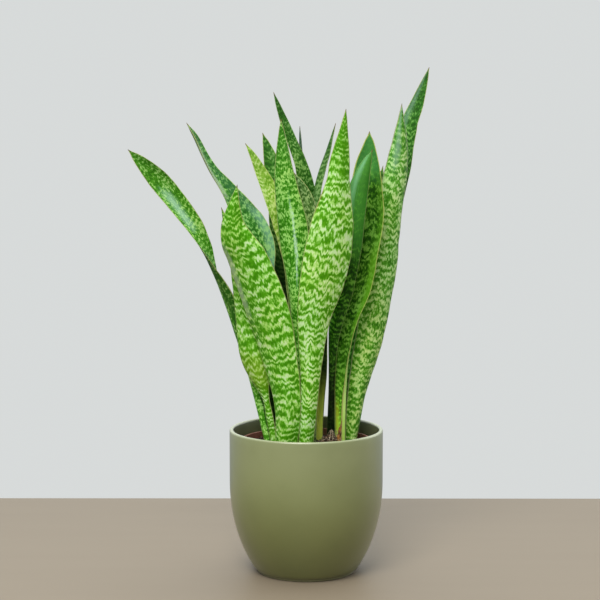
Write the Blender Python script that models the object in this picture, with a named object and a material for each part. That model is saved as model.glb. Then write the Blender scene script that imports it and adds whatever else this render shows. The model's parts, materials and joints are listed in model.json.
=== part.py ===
"""A potted snake plant: a glazed cover pot, a plastic nursery pot inside it, soil, and upright leaves.

Metres, +Z up. The origin is the centre of the flat base that the cover pot stands on.
-Y is the front of the plant and +X is its right-hand side.
"""

import math

import bmesh
import bpy
from mathutils import Vector

MM = 0.001
GAP = 0.0003  # clearance between pieces that touch

# Cover pot
COVER_DIAMETER = 0.160
COVER_HEIGHT = 0.150
COVER_WALL = 0.0042
COVER_FLOOR = 0.0060
COVER_FOOT_DIAMETER = 0.104
COVER_SHOULDER = 0.095  # height at which the wall has become upright
COVER_FOOT_BAND = 0.0020
COVER_FOOT_INSET = 0.0006
COVER_FOOT_CHAMFER = 0.0012
COVER_FLOOR_FILLET = 0.0060
LOW_HANDLE = 0.21  # the wall curve's two handles, as shares of the shoulder's height
HIGH_HANDLE = 0.53
COVER_SEGMENTS = 48

# Nursery pot, sized to stand in the cover pot
NURSERY_RIM_ROOM = 0.0068  # clear space between its rim and the cover pot's wall
NURSERY_BASE_ROOM = 0.0050  # how much smaller its base's radius is than the cover pot's foot
NURSERY_RIM_DIAMETER = COVER_DIAMETER - 2 * (COVER_WALL + NURSERY_RIM_ROOM)
NURSERY_BASE_DIAMETER = COVER_FOOT_DIAMETER - 2 * NURSERY_BASE_ROOM
NURSERY_WALL = 0.0012
NURSERY_RIM_DROP = 0.0120  # how far its rim lies below the cover pot's rim
NURSERY_LIP_HEIGHT = 0.0100
NURSERY_LIP_STEP = 0.0030
NURSERY_RIM_EASE = 0.0005
NURSERY_HOLE_DIAMETER = 0.009
NURSERY_HOLE_CIRCLE = NURSERY_BASE_DIAMETER - 0.030
NURSERY_HOLES = 6
NURSERY_SEGMENTS = 40

# Soil
SOIL_DROP = 0.0070  # how far the soil's surface lies below the nursery pot's rim
SOIL_BUMP = 0.0014
SOIL_LEVEL_EDGE = 0.0060  # the surface is level this far in from the pot's wall
SOIL_RINGS = (0.86, 0.68, 0.50, 0.32, 0.15)  # the surface's rings, as shares of its radius

# Leaves
PLANT_HEIGHT = 0.395  # from the soil to the tallest tip
DRAWN_HEIGHT = 0.395  # the plant height that the stations below are drawn for
DRAWN_RIM_DIAMETER = 0.138  # and the nursery pot's rim diameter
LEAF_THICKNESS = 0.0030
LEAF_EDGE = 0.0009  # thickness of the narrowest blade
FULL_BLADE = 0.010  # the width from which a blade has its full thickness
FOOT_THICKENING = 1.25  # thickness at the foot, as a multiple of the blade's
TIP_THINNING = 0.75  # and at the tip
FOOT_CHANNEL = 0.34  # channel depth at the foot, as a share of the width
CHANNEL_REACH = 0.35  # share of the height over which the foot's deep channel opens out
FOLDED_FEET = {"leaf_front_right": 0.60}  # leaves with a foot folded deeper than the rest
ROOT_DEPTH = 0.0080  # how deep a leaf's foot stands in the soil
LEAF_RINGS = 17
RING_CROWDING = 1.15  # above 1, the rings lie closer together towards the tip
LEAF_SIDES = 10
LEAF_SMOOTHING = 60  # degrees
SOCKET_RINGS = 3  # the rings from the foot that reach through the soil's surface
TIP_SIZE = 0.0012

COVER_GREEN = (0.235, 0.262, 0.110)
TERRACOTTA = (0.185, 0.070, 0.045)
SOIL_BROWN = (0.030, 0.019, 0.012)
DRY_BROWN = (0.260, 0.120, 0.035)
LEAF_TONES = {
    "bright": (0.225, 0.480, 0.075),
    "middle": (0.130, 0.370, 0.070),
    "dark": (0.050, 0.190, 0.050),
    "yellow": (0.330, 0.480, 0.045),
}

# Each leaf: its tone, how deeply it is channelled, and its stations from the soil to the tip.
# A station is (height above the soil, x, y, blade width) in millimetres, then the turn of the
# channelled face in degrees: 0 faces the front, 90 faces right and 180 faces the back.
LEAVES = {
    "leaf_front_left": ("bright", 0.16, (
        (0, -22, -36, 23, 162),
        (50, -20, -41, 29, 162),
        (112, -31, -47, 41, 160),
        (150, -41, -51, 47, 162),
        (206, -62, -58, 41, 166),
        (223, -71, -61, 33, 166),
        (240, -73, -64, 21, 168),
        (275, -68, -70, 0, 170),
    )),
    "leaf_front_centre": ("bright", 0.14, (
        (0, -1, -38, 15, 175),
        (56, 3, -43, 18, 178),
        (100, 5, -46, 24, 180),
        (140, 8, -50, 34, 184),
        (180, 17, -54, 46, 188),
        (216, 24, -57, 47, 190),
        (246, 27.8, -59, 39.5, 190),
        (261, 29.8, -60, 31.5, 190),
        (277, 31.8, -61.5, 24, 190),
        (292, 32.8, -62.5, 21.3, 188),
        (307, 34.2, -63.5, 16.8, 188),
        (322, 36.2, -64.5, 11.2, 187),
        (349, 39, -66, 0, 185),
    )),
    "leaf_front_right": ("middle", 0.28, (
        (0, 35.4, -12, 12, -60),
        (20, 35.6, -12, 12.4, -60),
        (45, 35.9, -13, 14.4, -60),
        (67, 36.5, -13, 17.5, -56),
        (87, 37.7, -12, 18.5, -48),
        (108, 40.2, -11, 20, -40),
        (124, 42.0, -10, 22, -34),
        (142, 47.0, -8.5, 25, -28),
        (154, 51.2, -7, 28, -26),
        (175, 55.5, -5, 33, -24),
        (206, 59.0, -3, 36, -22),
        (236, 62.5, -1, 39, -20),
        (267, 63.4, 1, 33.5, -18),
        (288, 63.2, 3, 28, -16),
        (305, 64.4, 4, 18, -16),
        (318, 65.0, 5, 9, -16),
        (327.5, 65.0, 6, 0, -16),
    )),
    "leaf_right_tall": ("middle", 0.16, (
        (0, 47, 6, 14, 205),
        (55, 54, 7, 22, 205),
        (98, 64, 9, 31, 204),
        (180, 79, 13, 34, 202),
        (240, 86, 16, 30, 200),
        (300, 96, 19, 23, 200),
        (356, 99, 22, 0, 200),
    )),
    "leaf_back_right_tallest": ("dark", 0.22, (
        (0, 38, 30, 14, -35),
        (97, 58, 38, 25, -32),
        (180, 76, 44, 29, -30),
        (245, 88, 49, 29, -30),
        (285, 99, 52, 27, -28),
        (330, 108, 55, 21, -26),
        (366, 121, 58, 13, -25),
        (395, 130, 60, 0, -25),
    )),
    "leaf_centre_long": ("middle", 0.26, (
        (0, -8, -10, 11, 172),
        (110, -8, -6, 14, 172),
        (165, -10, -4, 18, 172),
        (205, -12, -3, 29, 172),
        (220, -13, -2, 31, 172),
        (245, -17, -2, 29, 172),
        (285, -23, -1, 20, 174),
        (320, -25, 0, 9, 178),
        (340, -26, 1, 0, 180),
    )),
    "leaf_back_centre_tall": ("dark", 0.20, (
        (0, 4, 36, 12, 10),
        (70, 5, 42, 16, 10),
        (150, 6, 48, 22, 8),
        (220, 3, 53, 24, 8),
        (262, 0, 56, 20, 8),
        (286, -3.8, 57.5, 15.5, 9),
        (298, -7.7, 58.5, 13, 10),
        (322, -17.5, 61, 11, 14),
        (345, -26.5, 63, 8, 15),
        (369, -35, 65, 0, 15),
    )),
    "leaf_centre_yellow": ("yellow", 0.16, (
        (0, -12, 14, 11, 24),
        (120, -9, 20, 19, 24),
        (193, -15, 24, 23, 24),
        (247, -30, 28, 24, 22),
        (275, -43, 31, 16, 20),
        (300, -55, 33, 8, 20),
        (315, -64, 35, 0, 20),
    )),
    "leaf_back_left_small": ("dark", 0.18, (
        (0, -21, 40, 11, 20),
        (120, -27, 53, 19, 18),
        (190, -28, 61, 22, 16),
        (255, -31, 68, 22, 14),
        (300, -39, 72, 15, 12),
        (326, -47, 75, 0, 12),
    )),
    "leaf_back_thin": ("middle", 0.16, (
        (0, -3, 52, 9, 130),
        (150, -4, 68, 15, 110),
        (260, -5, 78, 14, 106),
        (308, -6, 82, 9, 105),
        (333, -7, 85, 0, 105),
    )),
    "leaf_back_leaning_thin": ("middle", 0.18, (
        (0, 13, 23, 9, 145),
        (35, 14, 25, 10, 142),
        (80, 17, 28, 12, 135),
        (140, 16, 32, 17, 120),
        (215, 9, 36, 19, 112),
        (270, 12, 40, 17, 110),
        (305, 22.5, 43, 11, 110),
        (336, 31, 45, 0, 110),
    )),
    "leaf_centre_short": ("dark", 0.20, (
        (0, 6, 4, 10, 190),
        (110, 5, 10, 16, 190),
        (190, 4, 15, 20, 188),
        (240, 2, 18, 21, 186),
        (265, -4, 19, 15, 184),
        (285, -13, 20, 0, 180),
    )),
    "leaf_right_inner": ("dark", 0.20, (
        (0, 25.0, -16, 10, 165),
        (34, 25.5, -17, 8, 165),
        (69, 26.2, -18, 7, 165),
        (112, 27.6, -19, 10.5, 165),
        (133, 30.4, -20, 14.5, 165),
        (165, 37.8, -22, 20, 165),
        (207, 43.5, -26, 24, 164),
        (240, 47.3, -28, 24, 162),
        (262, 50.6, -29, 22, 162),
        (279, 54.6, -30, 18, 160),
        (293, 59.4, -30, 12, 160),
        (303, 64.0, -30, 6, 160),
        (309, 66.8, -30, 0, 160),
    )),
    "leaf_back_right_short": ("dark", 0.18, (
        (0, 28, 44, 9, -35),
        (120, 48, 54, 15, -35),
        (200, 65, 60, 16, -35),
        (250, 75, 64, 14, -35),
        (275, 79.5, 66, 9, -35),
        (291, 82, 67, 0, -35),
    )),
    "leaf_far_left_long": ("middle", 0.20, (
        (0, -39, -1, 10, 150),
        (42, -48, -2, 12, 148),
        (90, -60, -5, 15, 142),
        (150, -79, -9, 21, 128),
        (189, -95, -13, 22, 92),
        (227, -112.5, -17, 19.5, 34),
        (265, -139, -22, 21.5, 12),
        (290, -160.5, -26, 17, 5),
        (309, -180, -29, 0, 0),
    )),
    "leaf_left_twisted": ("dark", 0.18, (
        (0, -29, 5, 11, 30),
        (30, -33.5, 6, 14, 28),
        (60, -35.5, 6.5, 17, 26),
        (90, -36, 6.5, 19, 24),
        (170, -47, 9, 27, 15),
        (215, -53, 11, 38, 6),
        (252, -72, 13, 27, 30),
        (290, -99, 15, 17, 62),
        (320, -114, 17, 11, 70),
        (336, -124, 18, 0, 70),
    )),
    "leaf_left_low": ("bright", 0.16, (
        (0, -32, -20, 8, 170),
        (41, -39, -22, 8, 168),
        (60, -43, -24, 9, 166),
        (76, -48, -25, 22, 165),
        (100, -53, -26, 34, 164),
        (135, -56, -27, 36, 162),
        (185, -66, -29, 25, 162),
        (225, -78, -30, 12, 164),
        (251, -86, -31, 0, 165),
    )),
}

SHEATH = ("dry_sheath", 0.30, (
    (0, 33, -29, 7, 180),
    (18, 34.2, -29, 5, 185),
    (31, 35.2, -28, 0, 190),
))


def make_material(name, colour, roughness):
    material = bpy.data.materials.new(name)
    material.use_nodes = True
    shader = material.node_tree.nodes["Principled BSDF"]
    shader.inputs["Base Color"].default_value = (*colour, 1.0)
    shader.inputs["Roughness"].default_value = roughness
    shader.inputs["Metallic"].default_value = 0.0
    return material


def add_object(name, bm, material, smooth_angle=40):
    """Turns the bmesh into a named object, smooth except across sharp corners."""
    bmesh.ops.recalc_face_normals(bm, faces=bm.faces)
    mesh = bpy.data.meshes.new(name)
    bm.to_mesh(mesh)
    bm.free()
    mesh.shade_smooth()
    mesh.set_sharp_from_angle(angle=math.radians(smooth_angle))
    mesh.materials.append(material)
    obj = bpy.data.objects.new(name, mesh)
    bpy.context.scene.collection.objects.link(obj)
    return obj


def turned(profile, segments):
    """A bmesh turned about Z from (radius, height) points that start and end on the axis."""
    bm = bmesh.new()
    verts = [bm.verts.new((radius, 0, height)) for radius, height in profile]
    edges = [bm.edges.new(pair) for pair in zip(verts, verts[1:])]
    bmesh.ops.spin(
        bm,
        geom=verts + edges,
        cent=(0, 0, 0),
        axis=(0, 0, 1),
        angle=math.tau,
        steps=segments,
        use_merge=True,
    )
    bmesh.ops.remove_doubles(bm, verts=bm.verts, dist=1e-6)
    return bm


def cut(obj, cutter):
    """Subtracts a hidden cutter from the object."""
    cutter.hide_render = True
    cutter.display_type = "WIRE"
    modifier = obj.modifiers.new("cut_" + cutter.name, "BOOLEAN")
    modifier.operation = "DIFFERENCE"
    modifier.solver = "EXACT"
    modifier.use_self = True
    modifier.object = cutter


# ---------------------------------------------------------------- cover pot


def cover_wall_curve(offset, steps, from_height=0.0):
    """Points up the pot's rounded lower wall, moved inwards by the offset."""
    foot = COVER_FOOT_DIAMETER / 2
    radius = COVER_DIAMETER / 2
    bend = (radius - foot) / 2
    handles = (
        Vector((foot, 0)),
        Vector((foot + bend, COVER_SHOULDER * LOW_HANDLE)),
        Vector((radius, COVER_SHOULDER * HIGH_HANDLE)),
        Vector((radius, COVER_SHOULDER)),
    )
    points = []
    for i in range(steps + 1):
        t = i / steps
        a, b, c, d = handles
        u = 1 - t
        point = a * u**3 + b * 3 * u * u * t + c * 3 * u * t * t + d * t**3
        if point.y >= from_height:
            points.append((point.x - offset, point.y))
    return points


def cover_pot_profile():
    radius = COVER_DIAMETER / 2
    foot = COVER_FOOT_DIAMETER / 2 - COVER_FOOT_INSET
    outer = cover_wall_curve(0.0, 9, from_height=COVER_FOOT_BAND)
    lip = COVER_WALL / 2
    rim = []
    for i in range(5):
        angle = math.pi * i / 4
        rim.append((radius - lip + lip * math.cos(angle), COVER_HEIGHT - lip + lip * math.sin(angle)))
    inner = cover_wall_curve(COVER_WALL, 7, from_height=COVER_FLOOR + COVER_FLOOR_FILLET)
    floor_edge = inner[0][0] - COVER_FLOOR_FILLET
    start = [(0, 0), (foot - COVER_FOOT_CHAMFER, 0), (foot, COVER_FOOT_CHAMFER), (foot, COVER_FOOT_BAND)]
    return start + outer + rim + inner[::-1] + [(floor_edge, COVER_FLOOR), (0, COVER_FLOOR)]


def build_cover_pot():
    bm = turned(cover_pot_profile(), COVER_SEGMENTS)
    add_object("cover_pot", bm, make_material("cover_pot_glaze", COVER_GREEN, 0.45))


# ---------------------------------------------------------------- nursery pot

NURSERY_BOTTOM = COVER_FLOOR + GAP
NURSERY_TOP = COVER_HEIGHT - NURSERY_RIM_DROP
LIP_BOTTOM = NURSERY_TOP - NURSERY_LIP_HEIGHT
LIP_RADIUS = NURSERY_RIM_DIAMETER / 2
WALL_TOP_RADIUS = LIP_RADIUS - NURSERY_LIP_STEP
SOIL_FLOOR = NURSERY_BOTTOM + NURSERY_WALL


def nursery_pot_profile():
    base = NURSERY_BASE_DIAMETER / 2
    wall = NURSERY_WALL
    outside = [
        (0, NURSERY_BOTTOM),
        (base, NURSERY_BOTTOM),
        (WALL_TOP_RADIUS, LIP_BOTTOM - NURSERY_LIP_STEP),
        (LIP_RADIUS, LIP_BOTTOM),
        (LIP_RADIUS, NURSERY_TOP - NURSERY_RIM_EASE),
        (LIP_RADIUS - NURSERY_RIM_EASE, NURSERY_TOP),
    ]
    inside = [
        (LIP_RADIUS - wall, NURSERY_TOP),
        (LIP_RADIUS - wall, LIP_BOTTOM + wall / 2),
        (WALL_TOP_RADIUS - wall, LIP_BOTTOM - NURSERY_LIP_STEP + wall / 2),
        (base - wall, SOIL_FLOOR),
        (0, SOIL_FLOOR),
    ]
    return outside + inside


def build_nursery_pot():
    bm = turned(nursery_pot_profile(), NURSERY_SEGMENTS)
    pot = add_object("nursery_pot", bm, make_material("nursery_plastic", TERRACOTTA, 0.55), 30)
    drills = bmesh.new()
    for i in range(NURSERY_HOLES):
        angle = math.tau * (i + 0.5) / NURSERY_HOLES
        reach = NURSERY_HOLE_CIRCLE / 2
        place = Vector((reach * math.cos(angle), reach * math.sin(angle), NURSERY_BOTTOM))
        made = bmesh.ops.create_cone(
            drills,
            cap_ends=True,
            segments=12,
            radius1=NURSERY_HOLE_DIAMETER / 2,
            radius2=NURSERY_HOLE_DIAMETER / 2,
            depth=NURSERY_WALL * 3,
        )
        bmesh.ops.translate(drills, verts=made["verts"], vec=place)
    cut(pot, add_object("drain_holes", drills, pot.data.materials[0]))


# ---------------------------------------------------------------- leaves

SOIL_TOP = NURSERY_TOP - SOIL_DROP


def smooth_row(rows, index, share):
    """The row a share of the way from rows[index] to the next, on a smooth curve through all."""
    before = rows[max(index - 1, 0)]
    start, end = rows[index], rows[index + 1]
    after = rows[min(index + 2, len(rows) - 1)]
    rise_before = start[0] - before[0]
    rise = end[0] - start[0]
    rise_after = after[0] - end[0]
    result = []
    for p, a, b, n in zip(before, start, end, after):
        slope = (b - a) / rise
        slope_a = slope if rise_before == 0 else (b - p) / (rise + rise_before)
        slope_b = slope if rise_after == 0 else (n - a) / (rise + rise_after)
        s = share
        value = a * (1 + 2 * s) * (1 - s) ** 2 + slope_a * rise * s * (1 - s) ** 2
        value += b * s * s * (3 - 2 * s) + slope_b * rise * s * s * (s - 1)
        result.append(value)
    return result


def leaf_stations(stations):
    """(centre, width, turn, share of the height) for each ring of a leaf, from its foot to its tip."""
    tall = PLANT_HEIGHT / DRAWN_HEIGHT * MM
    wide = NURSERY_RIM_DIAMETER / DRAWN_RIM_DIAMETER * MM
    rows = []
    for height, x, y, width, turn in stations:
        rows.append((height * tall, x * wide, y * wide, width * wide, math.radians(turn)))
    top = rows[-1][0]
    low = rows[0]
    second = rows[1]
    lean = ROOT_DEPTH / (second[0] - low[0])
    sunk = [a - (b - a) * lean for a, b in zip(low, second)]
    sunk[3] = low[3]
    sunk[4] = low[4]
    rings = [(Vector((sunk[1], sunk[2], SOIL_TOP + sunk[0])), sunk[3], sunk[4], 0.0)]
    for i in range(LEAF_RINGS):
        part = i / (LEAF_RINGS - 1)
        height = top * (1 - (1 - part) ** RING_CROWDING)
        index = max(k for k in range(len(rows) - 1) if rows[k][0] <= height)
        share = (height - rows[index][0]) / (rows[index + 1][0] - rows[index][0])
        z, x, y, width, turn = smooth_row(rows, index, share)
        rings.append((Vector((x, y, SOIL_TOP + z)), max(width, TIP_SIZE), turn, height / top))
    return rings


def leaf_ring(bm, centre, along, width, turn, channel, thickness):
    """One cross-section: a thin lens whose margins stand forward of its middle, as in a channel."""
    across = Vector((math.cos(turn), math.sin(turn), 0))
    across = (across - along * across.dot(along)).normalized()
    face = along.cross(across)
    if face.dot(Vector((math.sin(turn), -math.cos(turn), 0))) < 0:
        face = -face
    verts = []
    for i in range(LEAF_SIDES):
        angle = math.tau * i / LEAF_SIDES
        side = math.cos(angle)
        lift = channel * width * (side * side - 0.5) + thickness / 2 * math.sin(angle)
        verts.append(bm.verts.new(centre + across * (side * width / 2) + face * lift))
    return verts


def leaf_mesh(name, cup, stations, ring_count=None):
    """A bmesh of one leaf, or of its first few rings only."""
    foot_channel = FOLDED_FEET.get(name, FOOT_CHANNEL)
    rings = leaf_stations(stations)
    bm = bmesh.new()
    loops = []
    for i, (centre, width, turn, share) in enumerate(rings[:ring_count]):
        low = rings[max(i - 1, 0)][0]
        high = rings[min(i + 1, len(rings) - 1)][0]
        along = (high - low).normalized()
        channel = cup + (foot_channel - cup) * max(0.0, 1 - share / CHANNEL_REACH)
        taper = FOOT_THICKENING + (TIP_THINNING - FOOT_THICKENING) * share
        thickness = LEAF_EDGE + (LEAF_THICKNESS - LEAF_EDGE) * taper * min(1.0, width / FULL_BLADE)
        loops.append(leaf_ring(bm, centre, along, width, turn, channel, thickness))
    for lower, upper in zip(loops, loops[1:]):
        for i in range(LEAF_SIDES):
            j = (i + 1) % LEAF_SIDES
            bm.faces.new((lower[i], lower[j], upper[j], upper[i]))
    bm.faces.new(loops[0])
    bm.faces.new(loops[-1])
    return bm


def build_leaves():
    for name, (tone, cup, stations) in LEAVES.items():
        skin = make_material(name + "_skin", LEAF_TONES[tone], 0.40)
        add_object(name, leaf_mesh(name, cup, stations), skin, LEAF_SMOOTHING)
    name, cup, stations = SHEATH
    skin = make_material("dry_skin", DRY_BROWN, 0.80)
    add_object(name, leaf_mesh(name, cup, stations), skin, LEAF_SMOOTHING)


# ---------------------------------------------------------------- soil


def soil_height(x, y):
    """A gently lumpy surface: broad waves with finer ones on them."""
    broad = math.sin(x * 190 + 1.3) * math.cos(y * 170 + 0.4)
    fine = math.sin((x + y) * 310) * math.cos((x - y) * 270)
    return SOIL_TOP + SOIL_BUMP * (0.6 * broad + 0.4 * fine)


def soil_bmesh():
    lip_inner = LIP_RADIUS - NURSERY_WALL - GAP
    wall_inner = WALL_TOP_RADIUS - NURSERY_WALL - GAP
    base_inner = NURSERY_BASE_DIAMETER / 2 - NURSERY_WALL - GAP
    profile = [
        (0, SOIL_FLOOR + GAP),
        (base_inner, SOIL_FLOOR + GAP),
        (wall_inner, LIP_BOTTOM - NURSERY_LIP_STEP + NURSERY_WALL / 2),
        (lip_inner, LIP_BOTTOM + NURSERY_WALL / 2),
        (lip_inner, SOIL_TOP),
    ]
    for share in SOIL_RINGS:
        profile.append((lip_inner * share, SOIL_TOP))
    profile.append((0, SOIL_TOP))
    bm = turned(profile, NURSERY_SEGMENTS)
    for vert in bm.verts:
        inside = math.hypot(vert.co.x, vert.co.y) < lip_inner - SOIL_LEVEL_EDGE
        if inside and vert.co.z > SOIL_TOP - GAP:
            vert.co.z = soil_height(vert.co.x, vert.co.y)
    return bm


def swell(bm, distance):
    """Moves every face of a closed bmesh outwards by the distance."""
    bmesh.ops.recalc_face_normals(bm, faces=bm.faces)
    bm.normal_update()
    moves = [vert.normal * (vert.calc_shell_factor() * distance) for vert in bm.verts]
    for vert, move in zip(bm.verts, moves):
        vert.co += move


def build_soil():
    soil = add_object("soil", soil_bmesh(), make_material("soil_crumbs", SOIL_BROWN, 0.95))
    sockets = bmesh.new()
    feet = [(name, cup, stations) for name, (_, cup, stations) in LEAVES.items()]
    feet.append(SHEATH)
    for name, cup, stations in feet:
        socket = leaf_mesh(name, cup, stations, ring_count=SOCKET_RINGS)
        swell(socket, GAP)
        mesh = bpy.data.meshes.new("socket")
        socket.to_mesh(mesh)
        socket.free()
        sockets.from_mesh(mesh)
        bpy.data.meshes.remove(mesh)
    cut(soil, add_object("leaf_sockets", sockets, soil.data.materials[0]))


def main():
    for obj in list(bpy.data.objects):
        bpy.data.objects.remove(obj)
    build_cover_pot()
    build_nursery_pot()
    build_leaves()
    build_soil()


main()
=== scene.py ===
# %% [markdown]
# # A potted snake plant
# A snake plant keeps its water in thick, upright, sword-shaped leaves that rise straight from the
# soil. Nurseries sell it in a thin plastic pot, and at home that pot is dropped into a glazed cover
# pot. The frame already holds every piece at its true size and place, so this lesson only adds what
# a plain solid lacks: round outlines, grown shapes, crumbs of soil, and skins with a pattern.
# Outlines, heights and the line of every leaf are read from the frame, so nothing here drifts away
# from it. Only what the frame's boxes don't tell, such as the thickness of a wall, is named again.

# %% Load the frame
import json
import math
import random

import bmesh
import bpy
import numpy as np
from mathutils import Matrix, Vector, noise


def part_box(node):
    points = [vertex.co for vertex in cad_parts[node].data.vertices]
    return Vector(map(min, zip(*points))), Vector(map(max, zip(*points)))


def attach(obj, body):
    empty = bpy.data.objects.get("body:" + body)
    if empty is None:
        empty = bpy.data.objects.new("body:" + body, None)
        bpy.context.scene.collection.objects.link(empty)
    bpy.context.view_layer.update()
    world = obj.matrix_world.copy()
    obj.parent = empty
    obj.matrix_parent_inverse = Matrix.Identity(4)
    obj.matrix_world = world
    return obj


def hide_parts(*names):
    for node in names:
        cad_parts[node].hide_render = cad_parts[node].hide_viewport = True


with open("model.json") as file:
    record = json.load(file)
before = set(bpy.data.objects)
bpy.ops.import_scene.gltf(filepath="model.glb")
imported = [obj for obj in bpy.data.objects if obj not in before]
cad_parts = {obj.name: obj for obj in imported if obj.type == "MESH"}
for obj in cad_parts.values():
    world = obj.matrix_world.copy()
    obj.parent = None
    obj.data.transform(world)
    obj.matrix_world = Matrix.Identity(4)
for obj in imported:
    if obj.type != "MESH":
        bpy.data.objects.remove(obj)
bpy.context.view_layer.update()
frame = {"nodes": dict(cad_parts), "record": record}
MM = 0.001

# %% [markdown]
# ## Small helpers
# An operator works on everything that is selected, and the loaded frame starts out selected. So each
# piece begins with a clean selection, and only the piece in hand is made active. The same few moves
# come back for every piece: finish its modifiers, smooth it, and say which body it rides on.

# %% Helpers for pieces


def clear_selection():
    if bpy.context.object and bpy.context.object.mode != "OBJECT":
        bpy.ops.object.mode_set(mode="OBJECT")
    bpy.ops.object.select_all(action="DESELECT")


def take_up(piece):
    """Makes one piece the only selected and active one."""
    clear_selection()
    piece.select_set(True)
    bpy.context.view_layer.objects.active = piece


def name_new_piece(name):
    piece = bpy.context.object
    piece.name = name
    piece.data.name = name
    return piece


def settle(piece, place=True):
    """Applies a piece's modifiers, then its place, so that its object sits at the origin."""
    take_up(piece)
    for modifier in list(piece.modifiers):
        bpy.ops.object.modifier_apply(modifier=modifier.name)
    if place:
        bpy.ops.object.transform_apply(location=True, rotation=True, scale=True)


def face_outwards(piece):
    take_up(piece)
    bpy.ops.object.mode_set(mode="EDIT")
    bpy.ops.mesh.select_all(action="SELECT")
    bpy.ops.mesh.normals_make_consistent(inside=False)
    bpy.ops.object.mode_set(mode="OBJECT")


def hand_over(piece, finish, slot, *nodes):
    """Gives a finished piece its material, and lets it stand for its nodes. The slot is not used."""
    piece.data.materials.clear()
    piece.data.materials.append(finish)
    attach(piece, "root")
    if nodes:
        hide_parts(*nodes)
    print(piece.name, "faces:", len(piece.data.polygons))
    return piece

# %% [markdown]
# ## Helpers for finishes
# A procedural finish is a small sum: read where a point lies on the piece, make a few noises and
# waves from that place, and turn them into colour, roughness and relief. These helpers write such a
# sum in a line or two each. The light of a room is a sum of the same kind, so it shares them.

# %% Sums of nodes


class Recipe:
    """Nodes being put together into a sum."""

    def __init__(self, tree):
        self.tree = tree

    def feed(self, socket, value):
        if isinstance(value, bpy.types.NodeSocket):
            self.tree.links.new(value, socket)
        else:
            socket.default_value = value

    def add(self, kind, *numbered, **named):
        """A new node, with its inputs fed in order or by name."""
        made = self.tree.nodes.new("ShaderNode" + kind)
        for socket, value in zip(made.inputs, numbered):
            self.feed(socket, value)
        for name, value in named.items():
            self.feed(made.inputs[name], value)
        return made

    def parts(self, vector):
        return tuple(self.add("SeparateXYZ", vector).outputs)

    def join(self, x, y, z):
        return self.add("CombineXYZ", x, y, z).outputs[0]

    def stretch(self, vector, scale, shift=(0, 0, 0)):
        return self.add("Mapping", Vector=vector, Scale=scale, Location=shift).outputs[0]

    def calc(self, operation, *values):
        made = self.add("Math", *values)
        made.operation = operation
        return made.outputs[0]

    def times(self, a, b):
        return self.calc("MULTIPLY", a, b)

    def line(self, value, slope, start):
        """The start, plus the value times the slope."""
        return self.calc("MULTIPLY_ADD", value, slope, start)

    def nudge(self, start, noise, amount):
        """The start, moved up or down by a noise around 0.5."""
        return self.line(self.calc("SUBTRACT", noise, 0.5), amount, start)

    def ease(self, value, low, high, start=0.0, end=1.0):
        """Goes smoothly from start to end as the value goes from low to high."""
        made = self.add("MapRange", value, low, high, start, end)
        made.interpolation_type = "SMOOTHSTEP"
        return made.outputs[0]

# %% Noises, colours and relief


class Finish(Recipe):
    """A material being put together. What is the same all over goes straight onto its shader."""

    def __init__(self, name, roughness=0.5, specular=0.5):
        self.material = bpy.data.materials.new(name)
        self.material.use_nodes = True
        super().__init__(self.material.node_tree)
        self.shader = self.tree.nodes["Principled BSDF"]
        self.set("Roughness", roughness)
        self.set("Specular IOR Level", specular)

    def set(self, name, value):
        self.feed(self.shader.inputs[name], value)

    def place(self):
        """Where a point lies in the row frame, in metres."""
        return self.add("TexCoord").outputs["Object"]

    def attribute(self, name):
        made = self.add("Attribute")
        made.attribute_name = name
        return made.outputs["Vector"]

    def cloud(self, vector, scale=1.0, detail=2.0, rough=0.5):
        """Smooth noise around 0.5."""
        made = self.add("TexNoise", Vector=vector, Scale=scale, Detail=detail, Roughness=rough)
        return made.outputs["Fac"]

    def cells(self, vector, scale=1.0):
        """The distance to the nearest of many scattered points."""
        return self.add("TexVoronoi", Vector=vector, Scale=scale).outputs["Distance"]

    def mix(self, share, a, b, way="MIX"):
        made = self.add("Mix")
        made.data_type = "RGBA"
        made.blend_type = way
        self.feed(made.inputs[0], share)
        self.feed(made.inputs[6], a if not isinstance(a, tuple) else (*a, 1.0))
        self.feed(made.inputs[7], b if not isinstance(b, tuple) else (*b, 1.0))
        return made.outputs[2]

    def tinted(self, colour, tint):
        return self.mix(1.0, colour, tint, "MULTIPLY")

    def lay(self, colour, tint, share, amount):
        """The colour, with a tint laid over it where the share is high."""
        return self.mix(self.times(share, amount), colour, tint)

    def relief(self, height, depth, strength=1.0):
        """Bumps of a given depth in metres."""
        made = self.add("Bump", Strength=strength, Distance=depth, Height=height)
        self.set("Normal", made.outputs[0])


print("finish helpers ready")

# %% [markdown]
# ## Camera, light and table
# The plant is seen from a little above, with a long lens that keeps its upright leaves parallel. A
# broad soft light hangs in front and to the left, a weaker one straight above, and a small one behind
# on the right draws the pot's edge. A pale room fills the shadows. The table is a plain pale slab. None
# of this belongs to the object, so the table is only staged.

# %% Camera
CAMERA_DISTANCE = 1.650
CAMERA_HEIGHT = 0.453
CAMERA_TILT = 5.83
CAMERA_SWING = 0.225
CAMERA_LENS = 96.1

camera_data = bpy.data.cameras.new("camera")
camera_data.lens = CAMERA_LENS
camera_data.sensor_width = 36.0
camera = bpy.data.objects.new("camera", camera_data)
camera.location = (0.0, -CAMERA_DISTANCE, CAMERA_HEIGHT)
camera.rotation_euler = (math.radians(90.0 - CAMERA_TILT), 0.0, math.radians(CAMERA_SWING))
bpy.context.scene.collection.objects.link(camera)
bpy.context.scene.camera = camera
bpy.context.scene.view_settings.view_transform = "Standard"

# %% Lights and room
LIGHT_AIM = Vector((0.0, 0.0, 0.25))
SEEN_WALL = (0.915, 0.945, 0.940, 1.0)
SEEN_WALL_LEVEL = 0.745
FELT_SKY = (0.92, 0.97, 1.0, 1.0)


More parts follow.
